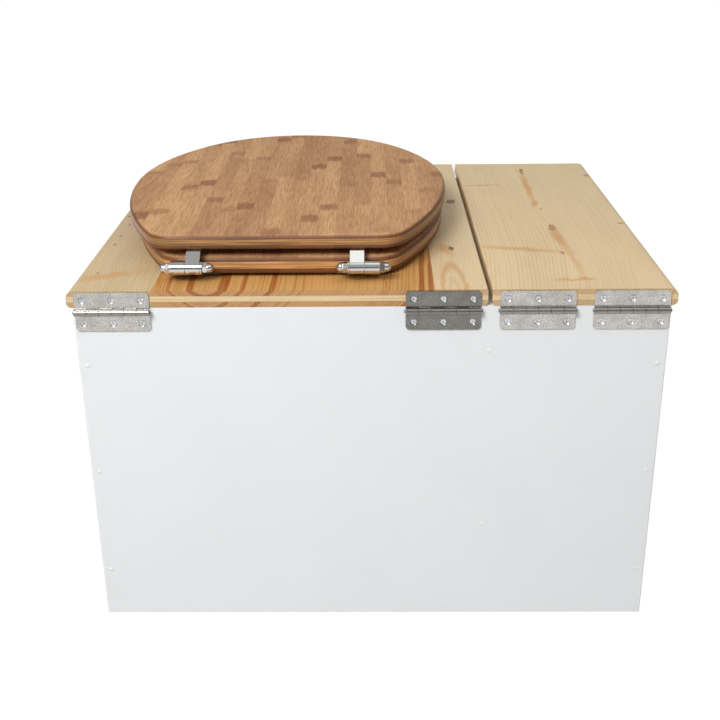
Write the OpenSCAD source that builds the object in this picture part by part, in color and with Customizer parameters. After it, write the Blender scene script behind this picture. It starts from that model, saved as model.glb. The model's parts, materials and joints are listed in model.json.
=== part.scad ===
// Box toilet with a hinged seat board and a hinged litter lid.
// The rear of the box faces +Y, the floor is Z = 0, and the box is centred on X = 0, Y = 0.
// The toilet stands on the +X side of a divider, the litter compartment on its -X side.

/* [Box] */
// Width of the box over its side panels
box_w = 600; // [560:5:680]
// Depth of the box over its front and rear panels
box_d = 470; // [450:5:520]
// Height of the box without its lids
box_h = 375; // [350:5:420]
// Thickness of the front, rear, side and divider panels
panel_t = 18; // [15:1:21]
// Thickness of the floor panel
floor_t = 12; // [9:1:18]
// Radius on the upright outer corners of the box
panel_round = 1.5; // [0.5:0.5:3]
// Distance of the divider's middle from the middle of the box
divider_offset = 119; // [100:1:135]

/* [Lids] */
// Thickness of both lids
lid_t = 18; // [17:1:22]
// How far the lids stand out past each side of the box
lid_side_lip = 5.5; // [2:0.5:10]
// How far the lids stand out past the front of the box
lid_front_lip = 14; // [8:1:25]
// Gap between the two lids, over the divider
lid_gap = 4.5; // [3:0.5:8]
// Radius of each lid's outer front corner in plan
lid_corner = 9; // [9:0.5:14]
// Radius along the upper edge of each lid's front and outer side
lid_edge = 8; // [4:0.5:8]
// Radius along the upper edge of each lid's inner side, at the gap
lid_inner_edge = 1.5; // [1:0.5:3]
// Radius along the lower edges of each lid's front and sides
lid_under_edge = 5; // [2:0.5:6]

/* [Butt hinges] */
// Length of a hinge leaf along its pin
leaf_w = 75.6; // [66:0.2:80]
// Height of a leaf from the pin's axis to its free edge
leaf_h = 20.8; // [18:0.2:24]
// Thickness of the leaf plate
leaf_t = 1.5; // [1:0.1:2]
// Radius of a leaf's free corners
leaf_corner = 4; // [2:0.5:6]
// Outer diameter of the knuckles
knuckle_d = 7; // [6.4:0.2:8]
// Number of knuckles in one hinge, shared by its two leaves
knuckle_count = 6; // [4:2:8]
// Gap between neighbouring knuckles
knuckle_gap = 0.4; // [0.2:0.1:0.8]
// Diameter of the hinge pin
pin_d = 3.9; // [3:0.1:4]
// How far the riveted pin ends stand out of the knuckles
pin_end = 1.8; // [1:0.2:3]
// Height of the pin's axis below the underside of the lids
pin_drop = 4; // [3.8:0.1:4.4]
// Distance from the seat board's outer end to its first hinge
seat_outer_inset = 8; // [6:0.5:30]
// Distance from the seat board's inner end to its second hinge
seat_inner_inset = 6.5; // [4:0.5:30]
// Distance from the litter lid's inner end to its first hinge
litter_inner_inset = 7.5; // [4:0.5:9]
// Distance from the litter lid's outer end to its second hinge
litter_outer_inset = 7.5; // [4:0.5:9]

/* [Screws] */
// Head diameter of the hinge screws
screw_head = 7.2; // [6:0.2:8]
// Shank diameter of the hinge screws
screw_shank = 3.5; // [3:0.1:4]
// Length of the hinge screws below the leaf's face
screw_len = 16; // [12:1:20]
// Distance between the screws of one leaf
screw_pitch = 29.5; // [20:0.5:30]
// Height of the screw row from the pin's axis
screw_row = 12.5; // [10:0.5:14]
// Head diameter of the painted panel screws
wall_screw_head = 6.6; // [6:0.2:9]
// Shank diameter of the painted panel screws
wall_screw_shank = 4; // [3:0.5:5]
// Length of the painted panel screws
wall_screw_len = 45; // [35:1:60]
// Height of the lowest screw in a side panel
side_screw_low = 59; // [40:1:90]
// Distance between the three screws in a side panel
side_screw_pitch = 126; // [100:1:140]
// Height of the lower screw in the divider
divider_screw_low = 118; // [60:1:150]
// Distance between the two screws in the divider
divider_screw_pitch = 208; // [150:1:225]
// Diameter of the wood screws under the seat
small_screw_shank = 3; // [2.5:0.5:4]
// Head diameter of the wood screws under the seat
small_screw_head = 6; // [5:0.5:7]

/* [Seat] */
// Width of the seat cover
seat_w = 372; // [360:2:390]
// Length of the seat cover
seat_l = 440; // [430:1:450]
// Distance from the cover's nose to its widest line
seat_nose_l = 244; // [235:1:255]
// Radius of the cover's nose
seat_nose_r = 166; // [155:1:172]
// Radius of the two rear corners of the cover and the ring
seat_corner_r = 18; // [14:1:40]
// How far the cover stands out past the ring at its nose and its sides
ring_inset = 7; // [3:0.5:10]
// How far the ring sits off the cover's middle line, towards the litter lid
ring_shift = 3.5; // [0:0.5:5]
// Distance of the seat's middle from the middle of the box
seat_offset = 97; // [90:1:104]
// Distance from the lids' rear edge to the seat's straight rear edge
seat_set_back = 36.5; // [36:0.5:45]
// Thickness of the seat ring
ring_t = 18; // [16:1:20]
// Thickness of the seat cover
cover_t = 15; // [12:1:18]
// Gap between the seat board and the ring, filled by the ring's bumpers
ring_gap = 3.8; // [3.6:0.2:6]
// Gap between the ring and the cover, filled by the cover's bumpers
cover_gap = 8.4; // [8:0.2:12]
// Radius along the upper edges of the ring and the cover
seat_edge = 5; // [3:0.5:7]
// Radius along the lower edges of the ring and the cover
seat_under_edge = 2.5; // [1:0.5:4]
// Width of the opening in the seat ring
opening_w = 224; // [200:2:236]
// Length of the opening in the seat ring
opening_l = 284; // [260:2:300]
// Radius at the front and the rear of the opening
opening_end_r = 88; // [80:1:95]
// Width of wood between the opening and the seat's rear edge
ring_back = 82; // [76:1:88]
// How much wider the hole in the seat board is than the ring's opening, all round
hole_margin = 8; // [4:1:12]
// Diameter of the rubber bumpers
bumper_d = 20; // [14:1:24]
// Angle of the front bumpers from the seat's middle line
bumper_angle = 33; // [25:1:40]
// Distance from the feet of the seat hinges to the rear bumpers
bumper_clear = 11; // [4:1:16]
// Thickness of wood left over the screws under the seat
screw_skin = 5; // [3:1:7]

/* [Seat hinges] */
// Distance from the lids' rear edge to the axis of the seat hinges
axle_set_back = 24.2; // [23:0.2:26]
// Height of the seat hinges' axis above the seat board
axle_h = 15; // [14.6:0.2:16]
// Distance between the seams of the two seat hinges
hinge_span = 181.2; // [160:0.2:200]
// Diameter of the hinge barrels
barrel_d = 14; // [11:0.2:14.2]
// Length of the outer barrel, which is bolted to the seat board
post_w = 15.2; // [13:0.2:20]
// Length of the inner barrel, which carries the seat cover
strap_w = 14.4; // [12:0.2:20]
// Thickness of the strap that reaches up to the cover
strap_t = 2.2; // [1.5:0.1:3]
// Slope of the strap above the horizontal
strap_slope = 40; // [30:1:50]
// Length of the strap's plate under the cover
strap_plate_l = 40; // [30:1:60]
// Thickness of the ear that carries the seat ring
ear_t = 2; // [1.5:0.1:3]
// Width of the ear's plate under the ring
ear_plate_w = 14; // [12:1:24]
// Length of the ear's plate under the ring
ear_plate_l = 36; // [30:1:60]
// Distance from the ring's rear edge to the ear's plate
ear_cover = 6; // [2:1:10]
// Thickness of the foot that is bolted to the seat board
foot_t = 2.4; // [2:0.1:2.6]
// Length of the foot from the hinge axis
foot_l = 46; // [36:1:60]
// Distance of the plates' screws from the plates' ends
plate_screw_inset = 10; // [8:1:13]
// Diameter of the axle
axle_d = 4.9; // [4:0.1:6]
// Gap between neighbouring pieces on the axle
axle_gap = 0.4; // [0.2:0.1:0.8]
// Width across the flats of the acorn nuts
acorn_flats = 10; // [8:0.2:11]
// Height of the hexagon of the acorn nuts
acorn_hex_h = 4.6; // [3:0.1:5]
// Length of an acorn nut
acorn_l = 11.2; // [10:0.1:13]
// Diameter of the bolts through the seat board
bolt_d = 5; // [4:0.5:5]
// Head diameter of the bolts through the seat board
bolt_head = 9; // [8:0.2:9]
// Length of the bolts below the seat board
bolt_tail = 12; // [10:1:16]
// Diameter of the washers under the seat board
washer_d = 16; // [14:1:20]
// Thickness of the washers under the seat board
washer_t = 1.5; // [1:0.1:3]
// Span of the wing nuts over their wings
wing_span = 24; // [20:1:26]

/* [Bucket] */
// Diameter of the bucket at its mouth
bucket_top_d = 296; // [270:2:306]
// Diameter of the bucket at its foot
bucket_foot_d = 250; // [220:2:260]
// Height of the bucket
bucket_h = 325; // [280:1:330]
// Wall thickness of the bucket
bucket_wall = 2.6; // [2:0.2:4]
// How far the bucket's rim stands out
bucket_rim = 7; // [5:1:9]
// Diameter of the rolled lip around the rim
bucket_lip = 5; // [4:1:6]
// Distance from the bucket's mouth down to its stiffening band
bucket_band = 42; // [20:1:80]

/* [Fits] */
// Running clearance of a pin or an axle, on its radius
pin_fit = 0.05; // [0.02:0.01:0.1]
// Clearance round a screw or a bolt, on its radius
screw_fit = 0.05; // [0.02:0.01:0.1]

/* [Hidden] */
$fn = 64;

// Box planes
rear_y = box_d / 2;
side_x = box_w / 2;
lid_top = box_h + lid_t;
divider_x = -divider_offset;

// Lids: ends along X, and their common depth
lid_d = box_d + lid_front_lip;
lid_end = side_x + lid_side_lip;
seat_board_inner = divider_x + lid_gap / 2;
litter_lid_inner = divider_x - lid_gap / 2;
seat_board_w = lid_end - seat_board_inner;
litter_lid_w = lid_end + litter_lid_inner;

// Butt hinges: pin axis, and the middle of each hinge along X
pin_y = rear_y + knuckle_d / 2;
pin_z = box_h - pin_drop;
pin_bore_r = pin_d / 2 + pin_fit;
plate_start = knuckle_d / 2 + 0.6;
knuckle_pitch = leaf_w / knuckle_count;
seat_hinges = [lid_end - seat_outer_inset - leaf_w / 2, seat_board_inner + seat_inner_inset + leaf_w / 2];
litter_hinges = [litter_lid_inner - litter_inner_inset - leaf_w / 2,
    litter_outer_inset + leaf_w / 2 - lid_end];
all_hinges = concat(seat_hinges, litter_hinges);
screw_columns = [-screw_pitch, 0, screw_pitch];
leaf_face = leaf_t - knuckle_d / 2;

// Panel screws: in the middle of each side panel's end and of the divider's end
side_screws = [for (s = [-1, 1], i = [0:2])
    [s * (side_x - panel_t / 2), side_screw_low + i * side_screw_pitch]];
divider_screws = [for (i = [0:1]) [divider_x, divider_screw_low + i * divider_screw_pitch]];
panel_screws = concat(side_screws, divider_screws);

// Seat outline: a nose disc, a lens between two side arcs, two corner discs and a straight rear edge.
// The discs stand out past the lens by arc_lap, where the arcs would only touch.
arc_lap = 0.3;
seat_a = seat_w / 2;
seat_c = seat_nose_l - seat_nose_r;
seat_side_r = side_radius(seat_a, seat_c, seat_nose_r - arc_lap);
seat_k = seat_side_r - seat_a;
seat_rear = seat_l - seat_nose_l;
corner_y = seat_rear - seat_corner_r;
nose_reach = seat_side_r - seat_nose_r + arc_lap;
seat_y = rear_y - seat_set_back - seat_rear;
ring_x = seat_offset - ring_shift;

// Opening outline: two end discs and a lens between two side arcs
opening_y = seat_rear - ring_back - opening_l / 2;
opening_c = opening_l / 2 - opening_end_r;
opening_side_r = side_radius(opening_w / 2, opening_c, opening_end_r - arc_lap);
opening_k = opening_side_r - opening_w / 2;
opening_cut = opening_side_r * opening_c / (opening_side_r - opening_end_r + arc_lap);

// Seat heights
ring_z = lid_top + ring_gap;
cover_z = ring_z + ring_t + cover_gap;

// Seat hinges: axis, and places along X measured outwards from the seam of each hinge
axle_y = rear_y - axle_set_back;
axle_z = lid_top + axle_h;
barrel_r = barrel_d / 2;
axle_bore_r = axle_d / 2 + pin_fit;
seat_reach = seat_set_back - axle_set_back;
post_near = axle_gap / 2;
post_far = post_near + post_w;
strap_near = -axle_gap / 2 - strap_w;
ear_near = strap_near - axle_gap - ear_t;
ear_rise = ring_gap - axle_h;
strap_rise = ring_gap + ring_t + cover_gap - axle_h;
bolt_reach = foot_l - 12;
strap_screws_at = [seat_reach + plate_screw_inset, seat_reach + strap_plate_l - plate_screw_inset];
ear_end = seat_reach + ear_cover + ear_plate_l;
ear_screws_at = [ear_end - ear_plate_l + plate_screw_inset, ear_end - plate_screw_inset];

// Rubber bumpers, as places from the middle of the seat: the front ones in the middle of the wood,
// the rear ones in front of the feet of the seat hinges
bumper_arc = seat_nose_r - (seat_l + ring_inset - ring_back - opening_l) / 2;
bumper_front = [bumper_arc * sin(bumper_angle), -seat_c - bumper_arc * cos(bumper_angle)];
bumper_rear = [hinge_span / 2 + post_near + post_w / 2,
    seat_rear + seat_reach - foot_l - bumper_clear - bumper_d / 2];
bumper_places = [for (s = [-1, 1], p = [bumper_front, bumper_rear])
    [s * p[0], p[1]]];

// Bucket: stands under the middle of the opening
bucket_y = seat_y + opening_y;

// Radius of side arcs a from the middle that touch end arcs of radius r, centred c along
function side_radius(a, c, r) = (a * a + c * c - r * r) / (2 * (a - r));

// ---- Outlines and profiles ----

// Half section of a plate: its rim at r, rounded over at its top and its underside
module rim_section(r, t, top, under) {
    translate([0, under])
        square([r, t - top - under]);
    square([r - under, t / 2]);
    translate([0, t / 2])
        square([r - top, t / 2]);
    translate([r - top, t - top])
        circle(r = top, $fn = 32);
    translate([r - under, under])
        circle(r = under, $fn = 32);
}

// Half section of a plug through a round hole of radius r, flared so that the hole's rims are rounded over
module hole_section(r, t, top, under) {
    translate([0, -1])
        square([r, t + 2]);
    translate([0, t])
        square([r + top, 1]);
    translate([0, -1])
        square([r + under, 1]);
    difference() {
        union() {
            translate([0, t - top])
                square([r + top, top]);
            square([r + under, under]);
        }
        translate([r + top, t - top])
            circle(r = top, $fn = 32);
        translate([r + under, under])
            circle(r = under, $fn = 32);
    }
}

// Lens between two side arcs of radius r, each a disc of the child section, cut between y0 and y1
module lens(k, r, y0, y1) {
    intersection() {
        translate([-k, 0, 0])
            rotate_extrude($fn = 240)
                children();
        translate([k, 0, 0])
            rotate_extrude($fn = 240)
                children();
        translate([-r, y0, -r])
            cube([2 * r, y1 - y0, 2 * r]);
    }
}

// Plate with the outline of the seat, smaller by inset at its nose and its sides, its edges rounded over
module seat_plate(t, inset) {
    side_r = seat_side_r - inset;
    corner_reach = side_r - seat_corner_r + arc_lap;
    corner_x = sqrt(pow(corner_reach, 2) - pow(corner_y, 2)) - seat_k;
    translate([0, -seat_c, 0])
        rotate_extrude($fn = 160)
            rim_section(seat_nose_r - inset, t, seat_edge, seat_under_edge);
    lens(seat_k, side_r, -side_r * seat_c / nose_reach, side_r * corner_y / corner_reach)
        rim_section(side_r, t, seat_edge, seat_under_edge);
    for (s = [-1, 1])
        translate([s * corner_x, corner_y, 0])
            rotate_extrude($fn = 96)
                rim_section(seat_corner_r, t, seat_edge, seat_under_edge);
    rotate([90, 0, 90])
        linear_extrude(2 * corner_x, center = true)
            rim_section(seat_rear - arc_lap / 2, t, seat_edge, seat_under_edge);
}

// Plug through the oval opening: children are its end section and its side section
module opening_plug() {
    translate([0, opening_y, 0]) {
        for (s = [-1, 1])
            translate([0, s * opening_c, 0])
                rotate_extrude($fn = 128)
                    children(0);
        lens(opening_k, opening_side_r, -opening_cut, opening_cut)
            children(1);
    }
}

// Section across a lid w wide, its outer edge at +w / 2
module lid_section(w) {
    rim_section(w / 2, lid_t, lid_edge, lid_under_edge);
    mirror([1, 0])
        rim_section(w / 2, lid_t, lid_inner_edge, lid_under_edge);
}

// Lid w wide on Z = 0: its rear edge cut square along Y = 0, its inner edge on X = 0
module lid_board(w) {
    rotate([90, 0, 0])
        linear_extrude(lid_d - lid_corner)
            translate([w / 2, 0])
                lid_section(w);
    intersection() {
        rotate([90, 0, 0])
            linear_extrude(lid_d + 1)
                translate([w / 2, 0])
                    lid_section(w);
        across(-1, w - lid_corner + 1)
            rim_section(lid_d, lid_t, lid_edge, lid_under_edge);
    }
    translate([w - lid_corner, lid_corner - lid_d, 0])
        rotate_extrude($fn = 64)
            intersection() {
                rim_section(lid_corner, lid_t, lid_edge, lid_under_edge);
                square([lid_corner, lid_t]);
            }
}

// Countersunk screw along -Z with its head's rim on Z = 0, made thicker by grow
module screw_body(head, shank, length, grow = 0) {
    cone_h = (head - shank) / 2;
    translate([0, 0, -length])
        cylinder(r = shank / 2 + grow, h = length);
    translate([0, 0, -cone_h])
        cylinder(r1 = shank / 2 + grow, r2 = head / 2 + grow, h = cone_h);
}

// Low dome of a screw head, standing on Z = 0
module head_dome(head, rise) {
    r = (pow(head / 2, 2) + rise * rise) / (2 * rise);
    intersection() {
        translate([0, 0, rise - r])
            sphere(r = r, $fn = 96);
        cylinder(d = head, h = rise);
    }
}

// Countersunk wood screw with a cross recess in its slightly raised head
module wood_screw(head, shank, length) {
    difference() {
        union() {
            screw_body(head, shank, length);
            head_dome(head, 0.4);
        }
        for (a = [0, 90])
            rotate([0, 0, a])
                translate([-head * 0.3, -0.45, -1])
                    cube([head * 0.6, 0.9, 2]);
    }
}

// Stands its children in the screw holes of one leaf, pointing into the wood
module at_leaf_screws(side) {
    for (x = screw_columns)
        translate([x, leaf_face, side * screw_row])
            rotate([-90, 0, 0])
                children();
}

// Stands its children at each panel screw of the rear panel, or of the front panel
module at_wall_screws(side) {
    for (p = panel_screws)
        translate([p[0], side * rear_y, p[1]])
            rotate([-side * 90, 0, 0])
                children();
}

// Puts its children on the pin axis of the hinge at x
module at_hinge(x) {
    translate([x, pin_y, pin_z])
        children();
}

// Puts its children at the seam of one seat hinge, +X pointing outwards
module at_seat_hinge(i) {
    translate([seat_offset, axle_y, axle_z])
        mirror([i, 0, 0])
            translate([hinge_span / 2, 0, 0])
                children();
}

// Makes its flat child, drawn as reach to the front and height, w wide along X from x
module across(x, w) {
    translate([x, 0, 0])
        rotate([90, 0, 90])
            linear_extrude(w)
                mirror([1, 0])
                    children();
}

// Barrel round the axle, w wide from x
module barrel(x, w) {
    translate([x, 0, 0])
        rotate([0, 90, 0])
            cylinder(r = barrel_r, h = w);
}

// Bore for the axle through the whole of one seat hinge
module axle_bore(i) {
    at_seat_hinge(i)
        translate([ear_near - 1, 0, 0])
            rotate([0, 90, 0])
                cylinder(r = axle_bore_r, h = post_far - ear_near + 2);
}

// ---- Box ----

// Upright panel of the front or the rear, its outer corners rounded
module wall_panel(side) {
    difference() {
        translate([0, side * rear_y, 0])
            mirror([0, side > 0 ? 1 : 0, 0])
                linear_extrude(box_h) {
                    translate([-side_x, panel_round])
                        square([box_w, panel_t - panel_round]);
                    translate([panel_round - side_x, 0])
                        square([box_w - 2 * panel_round, panel_t]);
                    for (x = [panel_round - side_x, side_x - panel_round])
                        translate([x, panel_round])
                            circle(r = panel_round, $fn = 32);
                }
        at_wall_screws(side)
            screw_body(wall_screw_head, wall_screw_shank, wall_screw_len, screw_fit);
    }
}

module back_panel() {
    color("white")
        difference() {
            wall_panel(1);
            for (x = all_hinges)
                at_hinge(x)
                    at_leaf_screws(-1)
                        screw_body(screw_head, screw_shank, screw_len, screw_fit);
        }
}

module front_panel() {
    color("white")
        wall_panel(-1);
}

// Panel between the front and the rear panel, centred on x
module cross_panel(x, from_z) {
    difference() {
        translate([x - panel_t / 2, panel_t - rear_y, from_z])
            cube([panel_t, box_d - 2 * panel_t, box_h - from_z]);
        for (side = [-1, 1])
            at_wall_screws(side)
                screw_body(wall_screw_head, wall_screw_shank, wall_screw_len, screw_fit);
    }
}

module toilet_side_panel() {
    color("white")
        cross_panel(side_x - panel_t / 2, 0);
}

module litter_side_panel() {
    color("white")
        cross_panel(panel_t / 2 - side_x, 0);
}

module divider_panel() {
    color("white")
        cross_panel(divider_x, floor_t);
}

module floor_panel() {
    color("white")
        translate([panel_t - side_x, panel_t - rear_y, 0])
            cube([box_w - 2 * panel_t, box_d - 2 * panel_t, floor_t]);
}

module wall_screws() {
    color("white")
        for (side = [-1, 1])
            at_wall_screws(side) {
                screw_body(wall_screw_head, wall_screw_shank, wall_screw_len);
                head_dome(wall_screw_head, 0.6);
            }
}

// ---- Butt hinges ----

// One leaf on the pin axis: side 1 is the leaf on the lid, side -1 the leaf on the box
module leaf(side) {
    first = side > 0 ? 0 : 1;
    difference() {
        mirror([0, 0, side > 0 ? 0 : 1]) {
            translate([0, leaf_face, plate_start])
                rotate([90, 0, 0])
                    linear_extrude(leaf_t)
                        leaf_outline();
            for (i = [first:2:knuckle_count - 1])
                translate([leaf_w / 2 - (i + 1) * knuckle_pitch + knuckle_gap / 2, 0, 0])
                    rotate([90, 0, 90])
                        linear_extrude(knuckle_pitch - knuckle_gap)
                            knuckle_section();
        }
        at_leaf_screws(side)
            screw_body(screw_head, screw_shank, screw_len, screw_fit);
    }
}

// Plate of a leaf above its knuckles, its two free corners rounded
module leaf_outline() {
    h = leaf_h - plate_start;
    translate([-leaf_w / 2, 0])
        square([leaf_w, h - leaf_corner]);
    translate([leaf_corner - leaf_w / 2, 0])
        square([leaf_w - 2 * leaf_corner, h]);
    for (s = [-1, 1])
        translate([s * (leaf_w / 2 - leaf_corner), h - leaf_corner])
            circle(r = leaf_corner, $fn = 48);
}

// Knuckle rolled round the pin, with the strip that joins it to the plate
module knuckle_section() {
    difference() {
        union() {
            circle(d = knuckle_d);
            translate([-knuckle_d / 2, 0])
                square([leaf_t, plate_start]);
        }
        circle(r = pin_bore_r);
    }
}

module fixed_leaf(i) {
    color("silver")
        at_hinge(all_hinges[i])
            leaf(-1);
}

module lid_leaf(x) {
    color("silver")
        at_hinge(x)
            leaf(1);
}

// Wood screws of one leaf at every hinge in the list
module leaf_screws(hinges, side) {
    color("lightgray")
        for (x = hinges)
            at_hinge(x)
                at_leaf_screws(side)
                    wood_screw(screw_head, screw_shank, screw_len);
}

// Pin with a rounded end standing out on both sides
module hinge_pins() {
    round_r = pin_d / 2;
    color("gray")
        for (x = all_hinges)
            at_hinge(x)
                rotate([0, 90, 0]) {
                    cylinder(d = pin_d, h = leaf_w + 2 * (pin_end - round_r) + 0.6, center = true);
                    for (s = [-1, 1])
                        translate([0, 0, s * (leaf_w / 2 + pin_end - round_r)])
                            sphere(r = round_r, $fn = 48);
                }
}

// ---- Bucket ----

module bucket() {
    foot_r = bucket_foot_d / 2;
    top_r = bucket_top_d / 2;
    color("whitesmoke")
        translate([ring_x, bucket_y, floor_t])
            rotate_extrude($fn = 128)
                difference() {
                    union() {
                        polygon([[0, 4], [foot_r - 8, 4], [foot_r - 8, 0], [foot_r, 0], [foot_r, 4],
                            [top_r, bucket_h], [0, bucket_h]]);
                        translate([top_r - bucket_wall, bucket_h - 3])
                            square([bucket_wall + bucket_rim, 3]);
                        translate([top_r + bucket_rim, bucket_h - bucket_lip / 2])
                            circle(d = bucket_lip, $fn = 32);
                        translate([top_r - bucket_wall - 3, bucket_h - bucket_band])
                            square([bucket_wall + 6, 3]);
                    }
                    polygon([[0, 4 + bucket_wall], [foot_r - bucket_wall, 4 + bucket_wall],
                        [top_r - bucket_wall, bucket_h], [top_r - bucket_wall, bucket_h + 1],
                        [0, bucket_h + 1]]);
                }
}

// ---- Seat board ----

module seat_board() {
    color("burlywood")
        difference() {
            translate([seat_board_inner, rear_y, box_h])
                lid_board(seat_board_w);
            translate([ring_x, seat_y, box_h])
                opening_plug() {
                    hole_section(opening_end_r + hole_margin, lid_t, 2, 2);
                    hole_section(opening_side_r + hole_margin, lid_t, 2, 2);
                }
            for (x = seat_hinges)
                at_hinge(x)
                    at_leaf_screws(1)
                        screw_body(screw_head, screw_shank, screw_len, screw_fit);
            for (i = [0, 1])
                at_bolt(i)
                    translate([0, 0, -lid_t - foot_t - 1])
                        cylinder(r = bolt_d / 2 + screw_fit, h = lid_t + foot_t + 2);
        }
}

// Puts its children at one bolt, on the upper face of the foot
module at_bolt(i) {
    at_seat_hinge(i)
        translate([post_near + post_w / 2, -bolt_reach, foot_t - axle_h])
            children();
}

// Outer barrel of a seat hinge with the foot that lies on the seat board
module seat_post(i) {
    color("lightgray")
        difference() {
            at_seat_hinge(i) {
                barrel(post_near, post_w);
                across(post_near, post_w)
                    polygon([[barrel_r * 0.35, -barrel_r * 0.93], [seat_reach, -axle_h],
                        [foot_l, -axle_h], [foot_l, foot_t - axle_h],
                        [seat_reach, foot_t - axle_h], [barrel_r * 0.97, -barrel_r * 0.2]]);
            }
            axle_bore(i);
            at_bolt(i)
                screw_body(bolt_head, bolt_d, lid_t, screw_fit);
        }
}

// Countersunk bolts through the foot and the seat board
module post_bolts() {
    color("silver")
        for (i = [0, 1])
            at_bolt(i)
                difference() {
                    screw_body(bolt_head, bolt_d, foot_t + lid_t + bolt_tail);
                    translate([0, 0, -1.6])
                        cylinder(d = 3.6, h = 2, $fn = 6);
                }
}

module post_washers() {
    color("dimgray")
        for (i = [0, 1])
            at_bolt(i)
                translate([0, 0, -foot_t - lid_t - washer_t])
                    difference() {
                        cylinder(d = washer_d, h = washer_t);
                        translate([0, 0, -1])
                            cylinder(r = bolt_d / 2 + screw_fit, h = washer_t + 2);
                    }
}

// Wing nuts: a tapered hub between two upright wings
module wing_nuts() {
    hub_h = 5;
    color("silver")
        for (i = [0, 1])
            at_bolt(i)
                translate([0, 0, -foot_t - lid_t - washer_t - hub_h])
                    difference() {
                        union() {
                            cylinder(d1 = bolt_d + 3, d2 = bolt_d + 5, h = hub_h);
                            for (s = [-1, 1])
                                translate([s * (wing_span / 2 - 4), 1, 1])
                                    rotate([90, 0, 0])
                                        cylinder(r = 4, h = 2, $fn = 32);
                            translate([4 - wing_span / 2, -1, 1])
                                cube([wing_span - 8, 2, 3]);
                        }
                        translate([0, 0, -1])
                            cylinder(r = bolt_d / 2 + screw_fit, h = hub_h + 2);
                        translate([-wing_span, -2, hub_h])
                            cube([2 * wing_span, 4, 4]);
                    }
}

// Axle from one acorn nut to the other
module seat_axles() {
    color("gray")
        for (i = [0, 1])
            at_seat_hinge(i)
                translate([ear_near - acorn_hex_h, 0, 0])
                    rotate([0, 90, 0])
                        cylinder(d = axle_d, h = post_far - ear_near + 2 * acorn_hex_h);
}

// Acorn nut on X = 0 pointing along +X
module acorn_nut() {
    dome_r = acorn_flats / 2 - 0.4;
    rotate([0, 90, 0])
        difference() {
            union() {
                cylinder(d = acorn_flats / cos(30), h = acorn_hex_h, $fn = 6);
                cylinder(r = dome_r, h = acorn_l - dome_r);
                translate([0, 0, acorn_l - dome_r])
                    sphere(r = dome_r, $fn = 48);
            }
            translate([0, 0, -1])
                cylinder(r = axle_bore_r, h = acorn_hex_h + 1.5);
        }
}

module acorn_nuts() {
    color("lightgray")
        for (i = [0, 1])
            at_seat_hinge(i) {
                translate([post_far + axle_gap, 0, 0])
                    acorn_nut();
                translate([ear_near - axle_gap, 0, 0])
                    mirror([1, 0, 0])
                        acorn_nut();
            }
}

// ---- Litter lid ----

module litter_lid() {
    color("burlywood")
        difference() {
            translate([litter_lid_inner, rear_y, box_h])
                mirror([1, 0, 0])
                    lid_board(litter_lid_w);
            for (x = litter_hinges)
                at_hinge(x)
                    at_leaf_screws(1)
                        screw_body(screw_head, screw_shank, screw_len, screw_fit);
        }
}

// ---- Seat ring ----

module seat_ring() {
    color("peru")
        difference() {
            translate([ring_x, seat_y, ring_z])
                difference() {
                    seat_plate(ring_t, ring_inset);
                    opening_plug() {
                        hole_section(opening_end_r, ring_t, seat_edge, seat_under_edge);
                        hole_section(opening_side_r, ring_t, seat_edge, seat_under_edge);
                    }
                }
            at_ear_screws()
                screw_body(small_screw_head, small_screw_shank, ring_t - screw_skin, screw_fit);
        }
}

// Stands its children at each screw of the ears, pointing up into the ring
module at_ear_screws() {
    for (i = [0, 1], u = ear_screws_at)
        at_seat_hinge(i)
            translate([ear_near + ear_t - ear_plate_w / 2, -u, ear_rise - ear_t])
                rotate([180, 0, 0])
                    children();
}

// Ear on the axle, bent over into a plate under the ring
module ring_ear(i) {
    color("lightgray")
        difference() {
            at_seat_hinge(i) {
                barrel(ear_near, ear_t);
                across(ear_near, ear_t)
                    polygon([[barrel_r * 0.35, -barrel_r * 0.93], [seat_reach * 0.9, ear_rise - ear_t],
                        [ear_end, ear_rise - ear_t], [ear_end, ear_rise],
                        [seat_reach - 0.6, ear_rise], [barrel_r * 0.97, -barrel_r * 0.2]]);
                translate([ear_near + ear_t - ear_plate_w, -ear_end, ear_rise - ear_t])
                    cube([ear_plate_w, ear_plate_l, ear_t]);
            }
            axle_bore(i);
            at_ear_screws()
                screw_body(small_screw_head, small_screw_shank, ring_t - screw_skin, screw_fit);
        }
}

module ring_ear_screws() {
    color("lightgray")
        at_ear_screws()
            screw_body(small_screw_head, small_screw_shank, ring_t - screw_skin);
}

module ring_bumpers() {
    color("dimgray")
        for (p = bumper_places)
            translate([seat_offset + p[0], seat_y + p[1], lid_top])
                cylinder(d = bumper_d, h = ring_gap);
}

// ---- Seat cover ----

module seat_cover() {
    color("peru")
        difference() {
            translate([seat_offset, seat_y, cover_z])
                seat_plate(cover_t, 0);
            at_strap_screws()
                screw_body(small_screw_head, small_screw_shank, cover_t - screw_skin, screw_fit);
        }
}

// Stands its children at each screw of the straps, pointing up into the cover
module at_strap_screws() {
    for (i = [0, 1], u = strap_screws_at)
        at_seat_hinge(i)
            translate([strap_near + strap_w / 2, -u, strap_rise - strap_t])
                rotate([180, 0, 0])
                    children();
}

// Side view of a strap: off the barrel, sloping up, then flat under the cover
module strap_section() {
    along = [cos(strap_slope), sin(strap_slope)];
    out = [-sin(strap_slope), cos(strap_slope)];
    top_start = (barrel_r - 0.2) * out;
    low_start = (barrel_r - 0.2 - strap_t) * out;
    top_run = (strap_rise - top_start[1]) / along[1];
    low_run = (strap_rise - strap_t - low_start[1]) / along[1];
    polygon([top_start, top_start + top_run * along, [seat_reach + strap_plate_l, strap_rise],
        [seat_reach + strap_plate_l, strap_rise - strap_t], low_start + low_run * along, low_start]);
}

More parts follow.
